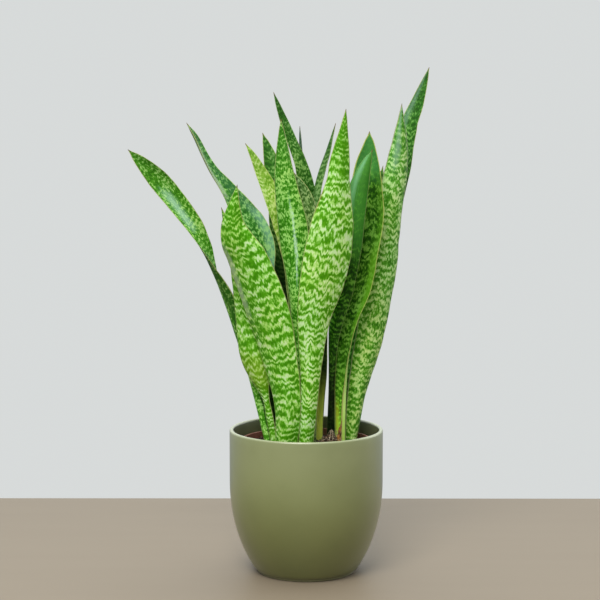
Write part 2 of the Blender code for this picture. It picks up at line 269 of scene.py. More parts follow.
def soft_light(name, place, size, power, colour):
    """A square area light that looks at the middle of the plant."""
    data = bpy.data.lights.new(name, "AREA")
    data.size = size
    data.energy = power
    data.color = colour
    light = bpy.data.objects.new(name, data)
    light.location = place
    light.rotation_euler = (LIGHT_AIM - Vector(place)).to_track_quat("-Z", "Y").to_euler()
    bpy.context.scene.collection.objects.link(light)


soft_light("window_light", (-0.42, -1.52, 2.13), 1.2, 62.0, (1.0, 0.985, 0.955))
soft_light("sky_light", (0.0, 0.1, 2.3), 1.6, 14.0, (0.95, 0.98, 1.0))
soft_light("rim_light", (1.35, 0.62, 0.60), 0.8, 3.2, (0.97, 0.98, 1.0))


def room_light():
    """A room that is bright above and behind, dim in front and below, and plain where it is seen."""
    world = bpy.data.worlds.new("room")
    world.use_nodes = True
    seen = world.node_tree.nodes["Background"]
    seen.inputs["Color"].default_value = SEEN_WALL
    seen.inputs["Strength"].default_value = SEEN_WALL_LEVEL
    f = Recipe(world.node_tree)
    _, back, up = f.parts(f.add("TexCoord").outputs["Generated"])
    glow = f.times(f.ease(up, -0.35, 0.60, 0.14, 0.80), f.ease(back, -0.30, 0.85, 0.62, 1.95))
    felt = f.add("Background", Color=FELT_SKY, Strength=glow)
    in_view = f.add("LightPath").outputs["Is Camera Ray"]
    pick = f.add("MixShader", in_view, felt.outputs[0], seen.outputs[0])
    f.feed(world.node_tree.nodes["World Output"].inputs["Surface"], pick.outputs[0])
    return world


bpy.context.scene.world = room_light()

# %% Table
TABLE_SIZE = (3.2, 1.33, 0.04)
TABLE_MIDDLE = (0.0, -0.335, -0.0201)
TABLE_EASE = 0.002

clear_selection()
bpy.ops.mesh.primitive_cube_add(size=1.0, location=TABLE_MIDDLE)
table = name_new_piece("table_top")
table.dimensions = TABLE_SIZE
bevel = table.modifiers.new("eased_edges", "BEVEL")
bevel.width = TABLE_EASE
bevel.segments = 3
settle(table)
table_finish = Finish("table_pale", roughness=0.55, specular=0.3)
grain = table_finish.cloud(table_finish.stretch(table_finish.place(), (4.0, 30.0, 4.0)), 1.0, 3.0)
table_finish.set("Base Color", table_finish.mix(grain, (0.216, 0.174, 0.123), (0.232, 0.189, 0.134)))
table.data.materials.append(table_finish.material)
print("table top faces:", len(table.data.polygons))

# %% [markdown]
# ## Cover pot
# The cover pot is stoneware, thrown or cast: an upright wall that rounds in below to a small flat
# foot, with a soft, even lip. Anything turned is easiest to make as it is on a wheel: draw half of
# the section once and spin it. The wall is the same curve as the frame's, with many more points, so
# that neither the outline nor the light on it shows a facet.

# %% Section of the cover pot
pot_low, pot_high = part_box("cover_pot")
POT_RADIUS = (pot_high.x - pot_low.x) / 2
POT_HEIGHT = pot_high.z
POT_FOOT_RADIUS = 0.052
POT_WALL = 0.0042
POT_FLOOR = 0.006
POT_SHOULDER = 0.095
POT_FOOT_BAND = 0.0020
POT_FOOT_INSET = 0.0006
POT_FLOOR_FILLET = 0.006
LOW_HANDLE = 0.21
HIGH_HANDLE = 0.53
FOOT_RING_WIDTH = 0.0090
FOOT_RING_DEPTH = 0.0016
FOOT_RING_EASE = 0.0009
WALL_STEPS = 8
POT_TURNS = 160


def wall_curve(offset, steps, lowest):
    """Points up the pot's lower wall, moved inwards by the offset."""
    bend = (POT_RADIUS - POT_FOOT_RADIUS) / 2
    a = Vector((POT_FOOT_RADIUS, 0.0))
    b = Vector((POT_FOOT_RADIUS + bend, POT_SHOULDER * LOW_HANDLE))
    c = Vector((POT_RADIUS, POT_SHOULDER * HIGH_HANDLE))
    d = Vector((POT_RADIUS, POT_SHOULDER))
    points = []
    for i in range(steps + 1):
        t = i / steps
        u = 1.0 - t
        point = a * u**3 + b * 3 * u * u * t + c * 3 * u * t * t + d * t**3
        if point.y >= lowest:
            points.append((point.x - offset, point.y))
    return points


def arc(centre_x, centre_z, radius, start, end, steps):
    """Points along part of a circle, from one angle in degrees to another."""
    points = []
    for i in range(steps + 1):
        angle = math.radians(start + (end - start) * i / steps)
        points.append((centre_x + radius * math.cos(angle), centre_z + radius * math.sin(angle)))
    return points


def cover_pot_section():
    """From the middle of the underside, out and up over the lip, to the middle of the floor."""
    foot = POT_FOOT_RADIUS - POT_FOOT_INSET
    inner_foot = foot - FOOT_RING_WIDTH
    lip = POT_WALL / 2
    top = POT_HEIGHT - lip
    rises = [k / WALL_STEPS for k in range(1, WALL_STEPS)]
    points = [(0.0, FOOT_RING_DEPTH), (inner_foot - 0.0015, FOOT_RING_DEPTH), (inner_foot, 0.0003)]
    points += [(inner_foot + 0.0012, 0.0), (foot - 0.0012, 0.0)]
    points += arc(foot - FOOT_RING_EASE, FOOT_RING_EASE, FOOT_RING_EASE, -60, 0, 3)
    points += [(foot, POT_FOOT_BAND - 0.0003), (foot + 0.0001, POT_FOOT_BAND + 0.0002)]
    points += wall_curve(0.0, 30, POT_FOOT_BAND + 0.0004)
    points += [(POT_RADIUS, POT_SHOULDER + (top - POT_SHOULDER) * rise) for rise in rises]
    points += arc(POT_RADIUS - lip, top, lip, 0, 180, 10)
    points += [(POT_RADIUS - POT_WALL, top - (top - POT_SHOULDER) * rise) for rise in rises]
    inner = wall_curve(POT_WALL, 24, POT_FLOOR + POT_FLOOR_FILLET)
    points += inner[::-1]
    edge = inner[0][0] - POT_FLOOR_FILLET
    points += [(edge + 0.0035, POT_FLOOR + 0.0018), (edge, POT_FLOOR), (0.0, POT_FLOOR)]
    return points


print("cover pot section points:", len(cover_pot_section()))

# %% [markdown]
# ## Turning a section
# One corner is all that is needed to start with. It is set at the first point and drawn out, point by
# point, into a chain of edges. Spin carries the chain round the upright axis, and merging by distance
# closes the seam and gathers the two ends on the axis into poles. The pot's outside has to face out,
# so normals are recalculated once the doubles are gone.

# %% Turn the cover pot


def turn_on_wheel(name, points, turns):
    """A closed piece spun round the upright axis from (radius, height) points."""
    clear_selection()
    bpy.ops.mesh.primitive_plane_add(size=MM)
    piece = name_new_piece(name)
    bpy.ops.object.mode_set(mode="EDIT")
    bpy.ops.mesh.select_mode(type="VERT")
    bpy.ops.mesh.select_all(action="SELECT")
    bpy.ops.mesh.merge(type="CENTER")
    bpy.ops.transform.translate(value=(points[0][0], 0.0, points[0][1]))
    for (x, z), (next_x, next_z) in zip(points, points[1:]):
        step = (next_x - x, 0.0, next_z - z)
        bpy.ops.mesh.extrude_region_move(TRANSFORM_OT_translate={"value": step})
    bpy.ops.mesh.select_all(action="SELECT")
    bpy.ops.mesh.spin(steps=turns, angle=math.tau, center=(0, 0, 0), axis=(0, 0, 1))
    bpy.ops.mesh.select_all(action="SELECT")
    bpy.ops.mesh.remove_doubles(threshold=1e-6)
    bpy.ops.mesh.normals_make_consistent(inside=False)
    bpy.ops.object.mode_set(mode="OBJECT")
    return piece


def smooth(piece, degrees):
    take_up(piece)
    bpy.ops.object.shade_smooth_by_angle(angle=math.radians(degrees))


cover_pot = turn_on_wheel("glazed_cover_pot", cover_pot_section(), POT_TURNS)
smooth(cover_pot, 50)

# %% [markdown]
# ## Olive glaze
# A satin glaze isn't one flat colour. It pools in soft clouds and carries very fine specks. It breaks
# paler over the lip, with a painted highlight laid there too. Painted shade darkens it towards the foot
# and painted light brightens it towards the lip. The inside of the pot is painted darker as shade, and
# the narrow foot band is painted lighter as light from the table. Its sheen is broad and soft, so
# roughness sits near the middle and wanders slightly, under a clear coat.

# %% Glaze


def olive_glaze():
    f = Finish("olive_satin_glaze", roughness=0.46, specular=0.42)
    where = f.place()
    east, north, height = f.parts(where)
    clouds = f.cloud(where, 16.0, 3.0, 0.55)
    fine = f.cloud(where, 420.0, 2.0, 0.6)
    specks = f.ease(f.cells(where, 520.0), 0.10, 0.20, 1.0, 0.0)
    colour = f.mix(f.ease(clouds, 0.3, 0.7), (0.225, 0.256, 0.104), (0.252, 0.284, 0.120))
    colour = f.lay(colour, (0.150, 0.165, 0.070), specks, 0.18)
    # Painted shade and light: the colour is darker towards the foot and lighter towards the lip.
    painted_falloff = f.ease(height, 0.028, POT_HEIGHT, 0.665, 1.09)
    colour = f.tinted(colour, f.join(painted_falloff, painted_falloff, f.times(painted_falloff, painted_falloff)))
    # Painted shade: the inner wall above the shoulder is laid darker.
    reach = f.calc("SQRT", f.line(east, east, f.times(north, north)))
    painted_inside_shade = f.ease(reach, POT_RADIUS - 0.0040, POT_RADIUS - 0.0030, 1.0, 0.0)
    painted_inside_shade = f.times(painted_inside_shade, f.ease(height, POT_SHOULDER, POT_SHOULDER + 0.010))
    colour = f.lay(colour, (0.075, 0.086, 0.036), painted_inside_shade, 0.75)
    # Paler over the lip: the glaze breaking thin at the edge, together with a painted highlight.
    lip = f.ease(height, POT_HEIGHT - 0.0016, POT_HEIGHT - 0.0002)
    colour = f.lay(colour, (0.420, 0.440, 0.270), lip, 0.35)
    # Painted light: the narrow band at the foot is lighter, as if lit from the table below.
    foot = f.ease(height, POT_FOOT_BAND, POT_FOOT_BAND + 0.0006, 1.0, 0.0)
    colour = f.lay(colour, (0.360, 0.340, 0.210), foot, 0.45)
    groove = f.calc("ABSOLUTE", f.calc("SUBTRACT", height, POT_FOOT_BAND + 0.0007))
    groove = f.ease(f.ease(groove, 0.0002, 0.0008), 0.0, 1.0, 0.45, 0.0)
    f.set("Base Color", f.mix(groove, colour, (0.080, 0.078, 0.040)))
    f.set("Roughness", f.line(clouds, 0.14, 0.39))
    f.set("Coat Weight", 1.0)
    f.set("Coat Roughness", 0.30)
    f.set("Coat IOR", 1.6)
    f.relief(f.line(fine, 0.5, f.times(clouds, 0.5)), 0.00012, 0.5)
    return f.material


hand_over(cover_pot, olive_glaze(), "cover_glaze", "cover_pot")

# %% [markdown]
# ## Nursery pot
# The pot that the plant grew in is vacuum-formed plastic, barely a millimetre thick, with a folded
# band at its rim. Only a little of its rim shows above the soil, but it is turned whole, with the six
# drainage holes cut through its floor, so that it can be looked into from any side.

# %% Section of the nursery pot
nursery_low, nursery_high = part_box("nursery_pot")
NURSERY_RADIUS = (nursery_high.x - nursery_low.x) / 2
NURSERY_TOP = nursery_high.z
NURSERY_BOTTOM = nursery_low.z
NURSERY_BASE = 0.047
NURSERY_WALL = 0.0012
NURSERY_BAND = 0.010
NURSERY_STEP = 0.003
NURSERY_TURNS = 120


def nursery_section():
    rim, top, base, wall = NURSERY_RADIUS, NURSERY_TOP, NURSERY_BASE, NURSERY_WALL
    band = top - NURSERY_BAND
    neck = rim - NURSERY_STEP
    points = [(0.0, NURSERY_BOTTOM), (base - 0.001, NURSERY_BOTTOM), (base, NURSERY_BOTTOM + 0.001)]
    points += [(neck, band - NURSERY_STEP), (rim - 0.0008, band - 0.0006), (rim, band + 0.0002)]
    points += [(rim, top - 0.0022), (rim - 0.0002, top - 0.0016)]
    points += arc(rim - 0.0008, top - 0.0008, 0.0008, 10, 150, 6)
    points += [(rim - wall - 0.0003, top - 0.0016), (rim - wall, band + wall / 2)]
    points += [(neck - wall, band - NURSERY_STEP + wall / 2), (base - wall, NURSERY_BOTTOM + wall + 0.0006)]
    points += [(base - wall - 0.0006, NURSERY_BOTTOM + wall), (0.0, NURSERY_BOTTOM + wall)]
    return points

# %% Turn and drill the nursery pot
nursery_pot = turn_on_wheel("plastic_nursery_pot", nursery_section(), NURSERY_TURNS)
HOLE_RADIUS = 0.0045
HOLE_CIRCLE = 0.032
HOLE_COUNT = 6
for i in range(HOLE_COUNT):
    turn = math.tau * (i + 0.5) / HOLE_COUNT
    clear_selection()
    bpy.ops.mesh.primitive_cylinder_add(
        vertices=24,
        radius=HOLE_RADIUS,
        depth=0.006,
        location=(HOLE_CIRCLE * math.cos(turn), HOLE_CIRCLE * math.sin(turn), NURSERY_BOTTOM),
    )
    drill = bpy.context.object
    hole = nursery_pot.modifiers.new("drain_hole", "BOOLEAN")
    hole.operation = "DIFFERENCE"
    hole.object = drill
    settle(nursery_pot, place=False)
    bpy.data.objects.remove(drill)
smooth(nursery_pot, 35)

# %% Plastic


def nursery_plastic():
    f = Finish("terracotta_plastic", roughness=0.55, specular=0.4)
    where = f.place()
    dust = f.cloud(where, 60.0, 4.0, 0.6)
    scuffs = f.cloud(f.stretch(where, (40.0, 40.0, 900.0)), 1.0, 2.0)
    colour = f.mix(f.ease(dust, 0.35, 0.75), (0.230, 0.080, 0.050), (0.270, 0.120, 0.085))
    colour = f.mix(f.ease(scuffs, 0.58, 0.75, 0.0, 0.35), colour, (0.420, 0.250, 0.190))
    f.set("Base Color", colour)
    f.set("Roughness", f.line(dust, 0.3, 0.40))
    f.relief(scuffs, 0.0001, 0.6)
    return f.material


hand_over(nursery_pot, nursery_plastic(), "nursery_plastic", "nursery_pot")

# %% [markdown]
# ## Reading a leaf from the frame
# Each leaf in the frame is a stack of rings, from a foot in the soil to a tip. To grow a finer leaf
# on the same line, its rings are read back: walking out from the foot, every step reaches the next
# ring. The two points furthest apart are the leaf's margins, and the middle of the ring lies behind
# them, because a snake plant's leaf is a channel. That gives each ring's centre, its direction across
# and its facing, its width, its channel and its thickness.

# %% Rings of a leaf
RING_POINTS = 10
MIDDLE_POINT_SIDE = math.cos(math.tau * 2 / RING_POINTS)
MIDDLE_POINT_RISE = math.sin(math.tau * 2 / RING_POINTS)


def walk_rings(node):
    """The node's corner points, as one (10, 3) array for each ring from the foot up."""
    bm = bmesh.new()
    bm.from_mesh(frame["nodes"][node].data)
    bmesh.ops.remove_doubles(bm, verts=bm.verts, dist=1e-5)
    bm.verts.index_update()
    ring = sorted(bm.verts, key=lambda v: v.co.z)[:RING_POINTS]
    seen = set(ring)
    rings = []
    while ring:
        rings.append(np.array([v.co for v in ring]))
        found = {edge.other_vert(v) for v in ring for edge in v.link_edges} - seen
        seen |= found
        ring = sorted(found, key=lambda v: v.index)
    bm.free()
    return rings


def read_ring(points, across):
    """A ring's centre, across and face directions, and its width, channel depth and thickness."""
    if across is None:
        gaps = np.linalg.norm(points[:, None] - points[None], axis=2)
        a, b = np.unravel_index(np.argmax(gaps), gaps.shape)
    else:
        a, b = np.argmax(points @ across), np.argmin(points @ across)
    width = np.linalg.norm(points[a] - points[b])
    across = (points[a] - points[b]) / width
    margins = (points[a] + points[b]) / 2
    reach = (points - margins) @ across / (width / 2)
    middle = points[np.abs(reach) < 0.5]
    back = margins - middle.mean(0)
    back -= across * (back @ across)
    depth = np.linalg.norm(back)
    face = back / depth
    rises = np.sort(middle @ face)
    thickness = (rises[2:].mean() - rises[:2].mean()) / MIDDLE_POINT_RISE
    depth /= 1 - MIDDLE_POINT_SIDE**2
    return margins - face * depth / 2, across, face, width, depth, thickness


def read_leaf(node):
    """Arrays along a leaf: centre, across, face, (width, depth, thickness), and distance from the foot."""
    across = None
    rows = []
    for points in walk_rings(node):
        row = read_ring(points, across)
        across = row[1]
        rows.append(row)
    centre, cross, face = (np.array([row[k] for row in rows]) for k in range(3))
    if cross[len(rows) // 2][0] < 0:
        cross = -cross
    sizes = np.array([row[3:] for row in rows])
    steps = np.linalg.norm(np.diff(centre, axis=0), axis=1)
    return centre, cross, face, sizes, np.concatenate([[0.0], np.cumsum(steps)])


leaf_nodes = sorted(n for n in frame["nodes"] if n.startswith("leaf_"))
leaf_lines = {node: read_leaf(node) for node in leaf_nodes}
for node, line in leaf_lines.items():
    long, wide = round(line[4][-1] / MM), round(line[3][:, 0].max() / MM)
    print(node, "rings", len(line[0]), "length mm", long, "widest mm", wide)

# %% [markdown]
# ## One blank for every leaf
# All seventeen leaves have the same build, a long flat closed tube, so one blank is modelled and then
# copied. It starts as a cylinder one unit high. Its upright edges are cut into many even steps, which
# is what gives a leaf enough points to curve. Each corner of the blank then knows two things by its
# place alone: how far round the leaf it lies, and how far up.

# %% Leaf blank
BLANK_SIDES = 32
BLANK_STEPS = 150


def cut_upright_edges(piece, steps):
    """Cuts the upright edges of a cylinder one unit high into even steps."""
    take_up(piece)
    bpy.ops.object.mode_set(mode="EDIT")
    bpy.ops.mesh.select_mode(type="EDGE")
    bpy.ops.mesh.select_all(action="DESELECT")
    bm = bmesh.from_edit_mesh(piece.data)
    for edge in bm.edges:
        edge.select = abs(edge.verts[0].co.z - edge.verts[1].co.z) > 0.5
    bmesh.update_edit_mesh(piece.data)
    bpy.ops.mesh.subdivide(number_cuts=steps - 1)
    bpy.ops.object.mode_set(mode="OBJECT")


def make_leaf_blank():
    clear_selection()
    bpy.ops.mesh.primitive_cylinder_add(
        vertices=BLANK_SIDES, radius=1.0, depth=1.0, location=(0.0, 0.0, 0.5), end_fill_type="NGON"
    )
    blank = name_new_piece("leaf_blank")
    bpy.ops.object.transform_apply(location=True, rotation=True, scale=True)
    cut_upright_edges(blank, BLANK_STEPS)
    return blank


leaf_blank = make_leaf_blank()
print("leaf blank: corners", len(leaf_blank.data.vertices), "faces", len(leaf_blank.data.polygons))

# %% [markdown]
# ## Growing a leaf on its line
# Between the rings, a leaf's centre, width and channel follow smooth curves. Across the leaf, the
# section is a lens: fleshy in the middle, thin at the margins, with the margins standing forward of
# the middle. Real margins are never quite straight, so each side gets its own slow wave, and the tip
# is drawn out into a fine dry point. The bands of a snake plant are stretched as the leaf widens, so
# the pattern's own measure runs quickly where the leaf is narrow and slowly where it is broad. Each
# corner stores its measures in mm, and the skin reads them from there.

# %% Smooth curves and slow waves


def follow(stations, rows, where):
    """The rows' values at given distances, on smooth curves that pass through every row."""
    rows = rows.reshape(len(stations), -1)
    slopes = np.gradient(rows, stations, axis=0)
    k = np.clip(np.searchsorted(stations, where, side="right") - 1, 0, len(stations) - 2)
    gap = (stations[k + 1] - stations[k])[:, None]
    t = (where[:, None] - stations[k][:, None]) / gap
    result = rows[k] * (1 + 2 * t) * (1 - t) ** 2 + slopes[k] * gap * t * (1 - t) ** 2
    return result + rows[k + 1] * t * t * (3 - 2 * t) + slopes[k + 1] * gap * t * t * (t - 1)


def unit(rows):
    return rows / np.linalg.norm(rows, axis=1)[:, None]


def slow_wave(where, seed, length):
    """A smooth wave between -1 and 1 along a distance in metres."""
    return np.array([noise.noise(Vector((v / length, seed * 7.31, seed * 1.7))) for v in where]) * 1.6

# %% Grow a leaf
BAND_LEAST = 3.6
BAND_SLOPE = 0.132
BLADE_MOST = 0.0034
POINT_LENGTH = 9.0
LONG_WAVE = 0.034
SHORT_WAVE = 0.015
NICK_WAVE = 0.010


def margin_wave(where, seed, second_seed):
    return slow_wave(where, seed, LONG_WAVE) + 0.5 * slow_wave(where, second_seed, SHORT_WAVE)


def grow_leaf(name, line, seed, ruffle=0.9):
    """A fine leaf on a frame leaf's line, with its pattern measures stored on its corners."""
    centre, cross, face, sizes, stations = line
    length = stations[-1]
    leaf = leaf_blank.copy()
    leaf.data = leaf_blank.data.copy()
    leaf.name = leaf.data.name = name
    bpy.context.scene.collection.objects.link(leaf)
    corners = np.empty(len(leaf.data.vertices) * 3)
    leaf.data.vertices.foreach_get("co", corners)
    corners = corners.reshape(-1, 3)
    steps = np.round(corners[:, 2] * BLANK_STEPS).astype(int)
    levels = np.arange(BLANK_STEPS + 1) / BLANK_STEPS
    where = length * (1 - (1 - levels) ** 1.12)
    middle = follow(stations, centre, where)
    across = unit(follow(stations, cross, where))
    facing = follow(stations, face, where)
    facing = unit(facing - across * (facing * across).sum(1)[:, None])
    width, depth, thick = follow(stations, sizes, where).T
    to_tip = (length - where) / MM
    point = np.clip(to_tip / POINT_LENGTH, 0.0, 1.0)
    width = width * (0.25 + 0.75 * point**0.6)
    thick = np.minimum(thick, BLADE_MOST) * (0.35 + 0.65 * point)
    left, right = margin_wave(where, seed, seed + 0.4), margin_wave(where, seed + 0.7, seed + 0.9)
    nick = slow_wave(where, seed + 2.1, NICK_WAVE)
    free = np.clip(where / 0.09, 0.0, 1.0) * np.clip(width / 0.022, 0.1, 1.0)
    side = corners[:, 0]
    round_side = np.sign(corners[:, 1]) * (1 - side**2).clip(0.0) ** 0.68
    wave = np.where(side > 0, right[steps], left[steps]) * np.abs(side) ** 3 * free[steps] * ruffle * MM
    lift = depth[steps] * (side**2 - 0.5) + thick[steps] / 2 * round_side + wave
    reach = side * (width[steps] / 2 + nick[steps] * 0.25 * MM * free[steps])
    place = middle[steps] + across[steps] * reach[:, None] + facing[steps] * lift[:, None]
    leaf.data.vertices.foreach_set("co", place.ravel())
    period = BAND_LEAST + BAND_SLOPE * width / MM
    phase = np.concatenate([[0.0], np.cumsum(np.diff(where) / MM / period[1:])])
    outer = (corners[:, 1] < -1e-6).astype(float)
    edge = (1 - np.abs(side)) * width[steps] / 2 / MM
    store = (
        ("blade", np.stack([reach / MM, where[steps] / MM, outer * 43.0 + seed * 11.0], 1)),
        ("bands", np.stack([phase[steps], side, outer], 1)),
        ("rim", np.stack([edge, to_tip[steps], place[:, 2] / MM], 1)),
    )
    for label, values in store:
        made = leaf.data.attributes.new(label, "FLOAT_VECTOR", "POINT")
        made.data.foreach_set("vector", values.astype(np.float32).ravel())
    face_outwards(leaf)
    bpy.ops.object.shade_smooth()
    return leaf

# %% [markdown]
# ## Bands of a leaf
# The skin is waxy, with pale and dark green in crosswise bands. The bands dip towards the midrib, and
# they are combed into teeth, because the colour follows the leaf's long fibres. Here a wave runs up
# the leaf and is pushed along it: by an arc from margin to margin, by a zigzag, and by noise that is
# stretched lengthwise. A threshold that wanders makes the bands thicken, break and join. Old and
# shaded leaves carry only flecks of pale.

# %% Bands


class LeafSkin(Finish):
    """A leaf's skin. Its lengths are in mm, and its heights are above the table."""

    def __init__(self, name, wax, shine):
        super().__init__(name, roughness=wax, specular=shine)
        self.blade = self.attribute("blade")
        self.phase, self.side, self.outer = self.parts(self.attribute("bands"))
        self.to_edge, self.to_tip, self.height = self.parts(self.attribute("rim"))
        self.teeth = self.grain((0.50, 0.090), rough=0.6)
        self.flecks = self.grain((0.60, 0.30), (5.0, 3.0), rough=0.65)
        self.tone = self.grain((0.05, 0.018), (3.0, 9.0))
        self.streaks = self.grain((3.2, 0.045))

    def grain(self, scale, shift=(0.0, 0.0), detail=2.0, rough=0.5):
        """Noise with its own scale and shift across and along the leaf."""
        return self.cloud(self.stretch(self.blade, (*scale, 1.0), (*shift, 0.0)), 1.0, detail, rough)

    def push(self, arc_mm, zigzag, comb):
        """How far the bands are pushed along the leaf, in mm."""
        across = self.parts(self.blade)[0]
        sway = self.grain((0.012, 0.021), (9.0, 2.0), detail=1.0)
        inward = self.calc("SUBTRACT", 1.0, self.calc("ABSOLUTE", self.side))
        dip = self.times(inward, self.line(sway, arc_mm * 6.0, -arc_mm * 2.5))
        swing = self.calc("PINGPONG", self.line(self.grain((0.10, 0.022)), 16.0, across), 4.2)
        push = self.line(self.calc("SUBTRACT", swing, 2.1), zigzag / 4.2, dip)
        push = self.nudge(push, self.grain((0.115, 0.036), rough=0.55), zigzag * 16.0)
        push = self.nudge(push, self.teeth, comb * 8.0)
        return self.nudge(push, self.grain((1.5, 0.16), detail=1.0), comb * 3.0)

    def band_level(self, arc_mm, zigzag, comb, fleck, share, calm):
        """The pattern's level: low where the skin is pale, high where it is dark green."""
        turns = self.line(self.push(arc_mm, zigzag, comb), 0.14, self.phase)
        wave = self.calc("SINE", self.times(turns, math.tau))
        fading = self.grain((0.11, 0.10), (17.0, 27.0))
        patches = self.grain((0.105, 0.085), (31.0, 7.0), rough=0.6)
        level = self.nudge(share, patches, 5.4)
        level = self.nudge(level, self.flecks, 3.8 + 6.2 * fleck)
        wave = self.times(wave, self.ease(fading, 0.32, 0.56, 0.60, 1.20))
        level = self.line(wave, 1.0 - 0.7 * fleck, level)
        calm = self.ease(self.to_tip, 8.0, 85.0, calm, 0.0)
        return self.calc("ADD", self.times(level, self.line(calm, -0.45, 1.0)), calm)

    def window(self, heights):
        """1 between the two middle heights, falling to 0 at the outer two, with a frayed edge."""
        frayed = self.nudge(self.height, self.teeth, 22.0)
        a, b, c, d = heights
        return self.times(self.ease(frayed, a, b), self.ease(frayed, c, d, 1.0, 0.0))

# %% [markdown]
# ## Marks, painted light and weather
# Painted light and shade, wax and age lie over the bands. A side tint is a lengthwise stretch of another
# green at one margin: the leaf's own colour on some leaves, and painted light, painted shade or a
# painted sheen on others. A keel highlight is a painted highlight, a pale line of flecks. A zone is a
# tint between two heights, on some leaves painted light on a foot in shade, and a painted band is a soft
# painted sheen or painted shade that runs lengthwise. Then every leaf darkens and dries a little towards
# its tip, has a straw or rusty margin, and is soiled at its foot.

# %% Marks on a leaf
EDGE_BROWN = (0.190, 0.075, 0.030)
TIP_BROWN = (0.120, 0.055, 0.028)
SOILED = (0.160, 0.110, 0.050)
DUSK = (0.45, 0.55, 0.60)


def near_line(skin, lean, middle, inner, reach, amount):
    """The amount close to a lengthwise line, falling to 0 at its reach."""
    away = skin.calc("ABSOLUTE", skin.calc("SUBTRACT", lean, middle))
    return skin.ease(away, inner, reach, amount, 0.0)


# A lengthwise tint at one margin: the leaf's own colour on some leaves, and painted light, painted shade or
# a painted sheen on others.
def lay_side_tint(skin, colour, level, face, start, end, tint, amount, *heights):
    turned = math.copysign(1.0, end - start)
    lean = skin.nudge(skin.times(skin.side, turned), skin.teeth, 0.30)
    zone = skin.ease(lean, start * turned, end * turned)
    if face == "outer":
        zone = skin.times(zone, skin.outer)
    elif face == "inner":
        zone = skin.times(zone, skin.calc("SUBTRACT", 1.0, skin.outer))
    zone = skin.times(zone, skin.ease(level, -1.4, 0.6, amount * 0.55, amount))
    return skin.lay(colour, tint, zone, skin.window(heights))


# A painted highlight: a pale line of flecks along the keel, where the wax would catch the light.
def lay_painted_keel_highlight(skin, colour, middle, reach, tint, amount, *heights):
    lean = skin.nudge(skin.side, skin.teeth, 0.34)
    keel_highlight = near_line(skin, lean, middle, reach * 0.1, reach, amount)
    keel_highlight = skin.times(keel_highlight, skin.ease(skin.flecks, 0.34, 0.58, 0.15, 1.0))
    return skin.lay(colour, tint, keel_highlight, skin.window(heights))


# A soft lengthwise painted band: a bluish painted sheen where the wax would reflect the room, and on one
# leaf painted shade on the side turned from the light.
def lay_painted_band(skin, colour, middle, reach, tint, amount, *heights):
    lean = skin.nudge(skin.side, skin.streaks, 0.9)
    painted_band = near_line(skin, lean, middle, 0.0, reach, amount)
    return skin.lay(colour, tint, painted_band, skin.window(heights))


def weather(skin, colour, edge, edge_mm, dusk):
    """The colour, dusky and dry towards the tip, worn at the margins and soiled at the foot."""
    shade = skin.ease(skin.to_tip, 4.0, 70.0, dusk, 0.0)
    colour = skin.mix(shade, colour, skin.tinted(colour, DUSK))
    margin = skin.ease(skin.to_edge, edge_mm * 0.4, edge_mm * 1.1, 1.0, 0.0)
    colour = skin.lay(colour, edge, margin, 0.85)
    rust = skin.times(skin.ease(skin.to_edge, 0.10, 0.42, 1.0, 0.0), skin.ease(skin.tone, 0.42, 0.60))
    colour = skin.lay(colour, EDGE_BROWN, rust, 0.6)
    dry = skin.ease(skin.line(skin.teeth, 5.0, skin.to_tip), 3.2, 7.0, 1.0, 0.0)
    colour = skin.lay(colour, TIP_BROWN, dry, 0.8)
    foot = skin.ease(skin.line(skin.teeth, 9.0, skin.height), 134.0, 141.0, 1.0, 0.0)
    return skin.lay(colour, SOILED, foot, 0.6), dry

# %% Skin maker
STRAW = (0.420, 0.500, 0.160)


def leaf_skin(
    name, pale, green, dark, palest=None, share=0.0, fleck=0.0, calm=0.6, dusk=0.40,
    arc_mm=5.5, zigzag=1.2, comb=1.0, edge=STRAW, edge_mm=0.7, wax=0.44, shine=0.14,
    veils=(), ridges=(), low=None, zones=(), sheens=(),
):
    """share above 0 gives more dark green; fleck breaks the bands up into mottling."""
    skin = LeafSkin(name, wax, shine)
    level = skin.band_level(arc_mm, zigzag, comb, fleck, share, calm)
    band = skin.ease(level, -0.80, 0.50)
    colour = skin.mix(band, pale, green)
    colour = skin.mix(skin.ease(level, 0.45, 1.70, 0.0, 0.85), colour, dark)
    colour = skin.lay(colour, palest or pale, skin.ease(level, -1.7, -0.6, 1.0, 0.0), 0.65)
    warmth = skin.ease(skin.tone, 0.35, 0.7, 0.0, 0.5)
    colour = skin.tinted(colour, skin.mix(warmth, (1.0, 1.0, 1.0), (1.14, 1.0, 0.74)))
    colour = skin.mix(skin.ease(skin.streaks, 0.35, 0.7, 0.0, 0.14), colour, dark)
    for side_tint in veils:
        colour = lay_side_tint(skin, colour, level, *side_tint)
    for keel_highlight in ridges:
        colour = lay_painted_keel_highlight(skin, colour, *keel_highlight)
    # Low multiplies the colour below a height: mostly painted shade on a foot in shade, or painted light
    # that lightens one, and on one leaf a yellowing.
    if low:
        foot_tint_and_painted_light, low_from, low_to = low
        painted_foot_light_mask = skin.ease(skin.height, low_from, low_to, 1.0, 0.0)
        colour = skin.mix(painted_foot_light_mask, colour, skin.tinted(colour, foot_tint_and_painted_light))
    for tint, amount, *heights in zones:
        colour = skin.lay(colour, tint, skin.window(heights), amount)
    for painted_band in sheens:
        colour = lay_painted_band(skin, colour, *painted_band)
    colour, dry = weather(skin, colour, edge, edge_mm, dusk)
    skin.set("Base Color", colour)
    gloss = skin.line(skin.tone, 0.16, skin.line(skin.streaks, 0.10, wax - 0.13))
    skin.set("Roughness", skin.line(dry, 0.35, gloss))
    fibres = skin.line(skin.streaks, 0.7, skin.times(skin.flecks, 0.5))
    skin.relief(skin.line(band, 0.25, fibres), 0.00025, 0.55)
    return skin.material
